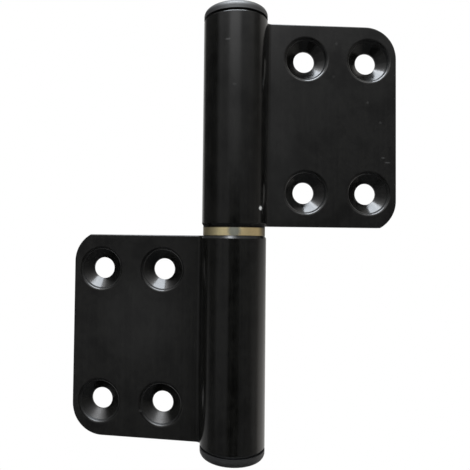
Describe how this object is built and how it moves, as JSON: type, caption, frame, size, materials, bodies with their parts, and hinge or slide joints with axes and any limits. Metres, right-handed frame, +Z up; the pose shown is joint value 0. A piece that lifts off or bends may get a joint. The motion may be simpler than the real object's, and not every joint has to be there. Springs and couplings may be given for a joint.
{
  "type": "lift off hinge",
  "caption": "Flag hinge in black coated metal: an upper leaf lifts off the upright pin of a lower leaf, and a brass washer carries it between the round knuckles.",
  "frame": {"origin": "centre of the lower cap's flat end, on the pin axis", "axes": "+Z up along the pin axis, -X from the pin axis along the lower leaf, -Y out of the lower leaf's screw face"},
  "size_m": [0.0825, 0.0201, 0.1108],
  "materials": {
    "black_coat": "satin black powder coat with a faint upright grain",
    "pin_steel": "ground bright steel",
    "washer_brass": "turned brass with fine rings",
    "cap_plastic": "moulded black plastic with a fine texture"
  },
  "bodies": {
    "lower_half": {"lower_leaf": "black_coat", "hinge_pin": "pin_steel", "lower_cap": "cap_plastic"},
    "washer": {"bearing_washer": "washer_brass"},
    "upper_half": {"upper_leaf": "black_coat", "upper_cap": "cap_plastic"}
  },
  "joints": [
    {"name": "swing", "type": "hinge", "parent": "lower_half", "child": "washer", "pos_m": [0, 0, 0.0554], "axis": [0, 0, 1], "continuous": true},
    {"name": "lift_off", "type": "slide", "parent": "washer", "child": "upper_half", "axis": [0, 0, 1], "range_m": [0, 0.05]}
  ]
}
